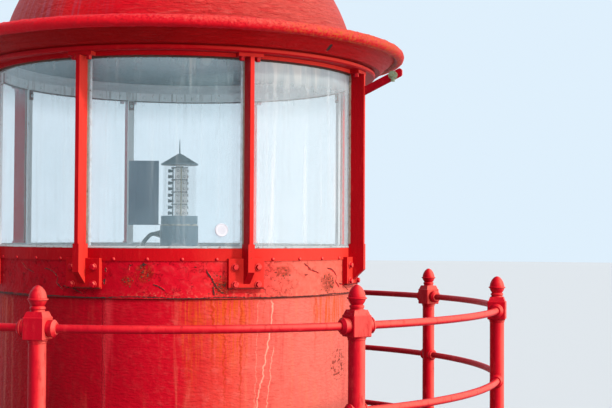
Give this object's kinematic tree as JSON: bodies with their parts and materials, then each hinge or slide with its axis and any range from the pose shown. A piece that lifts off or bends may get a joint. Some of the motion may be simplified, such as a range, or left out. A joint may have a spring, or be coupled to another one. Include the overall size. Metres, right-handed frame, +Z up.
{
  "type": "lighthouse lantern with gallery",
  "caption": "Round glazed lantern room of a lighthouse with a domed roof, rolled gutter, railed gallery and a small beacon lamp inside.",
  "frame": {"origin": "centre of the gallery deck's underside, on the tower axis", "axes": "+Z up along the tower axis, -Y towards the side that the picture shows, +X to its right"},
  "size_m": [3.4202, 3.4202, 3.9807],
  "materials": {
    "deck_paint": "worn grey non-slip deck paint",
    "red_paint": "weathered gloss red paint",
    "wall_paint": "old red paint, cracked and sun bleached, pale inside",
    "glazing_bar_paint": "red paint outside, pale grey paint inside",
    "ring_paint": "red paint outside, pale grey paint inside",
    "dome_paint": "thick brushed red paint with rust at the rim",
    "glass": "clear curved glass with dirty streaks",
    "clear_tube": "clear acrylic",
    "rod_metal": "dull weathered metal",
    "bronze": "bronze with green patina",
    "grey_metal": "satin dark grey paint",
    "pale_metal": "pale grey paint",
    "lamp_stack": "dark anodised plates with pale lamp drums",
    "lamp_metal": "dull cast aluminium",
    "dark_conduit": "dark grey plastic",
    "white_plastic": "white plastic"
  },
  "bodies": {
    "root": {"bar_feet": "glazing_bar_paint", "bar_heads": "glazing_bar_paint", "base_flange": "wall_paint", "conductor_arm": "red_paint", "conductor_clamp": "bronze", "cornice_ring": "ring_paint", "deck_nosing": "red_paint", "dome": "dome_paint", "eave_gutter": "dome_paint", "gallery_deck": "deck_paint", "glass_panes": "glass", "glass_vent": "white_plastic", "glazing_bar_1": "glazing_bar_paint", "glazing_bar_2": "glazing_bar_paint", "glazing_bar_3": "glazing_bar_paint", "glazing_bar_4": "glazing_bar_paint", "glazing_bar_5": "glazing_bar_paint", "glazing_bar_6": "glazing_bar_paint", "glazing_bar_7": "glazing_bar_paint", "glazing_bar_8": "glazing_bar_paint", "head_ring": "ring_paint", "lamp_base": "lamp_metal", "lamp_conduit": "dark_conduit", "lamp_hat": "lamp_metal", "lamp_pedestal": "pale_metal", "lamp_screen": "grey_metal", "lamp_tube": "clear_tube", "led_stack": "lamp_stack", "lightning_rod": "rod_metal", "lower_rail": "red_paint", "middle_rail": "red_paint", "rail_post_1": "red_paint", "rail_post_2": "red_paint", "rail_post_3": "red_paint", "rail_post_4": "red_paint", "rail_post_5": "red_paint", "rail_post_6": "red_paint", "rail_post_7": "red_paint", "rail_post_8": "red_paint", "room_floor": "deck_paint", "sill_ring": "ring_paint", "top_rail": "red_paint", "ventilator": "dome_paint", "wall_band": "wall_paint", "wall_plate_1": "wall_paint", "wall_plate_2": "wall_paint", "wall_plate_3": "wall_paint", "wall_plate_4": "wall_paint"}
  },
  "joints": []
}
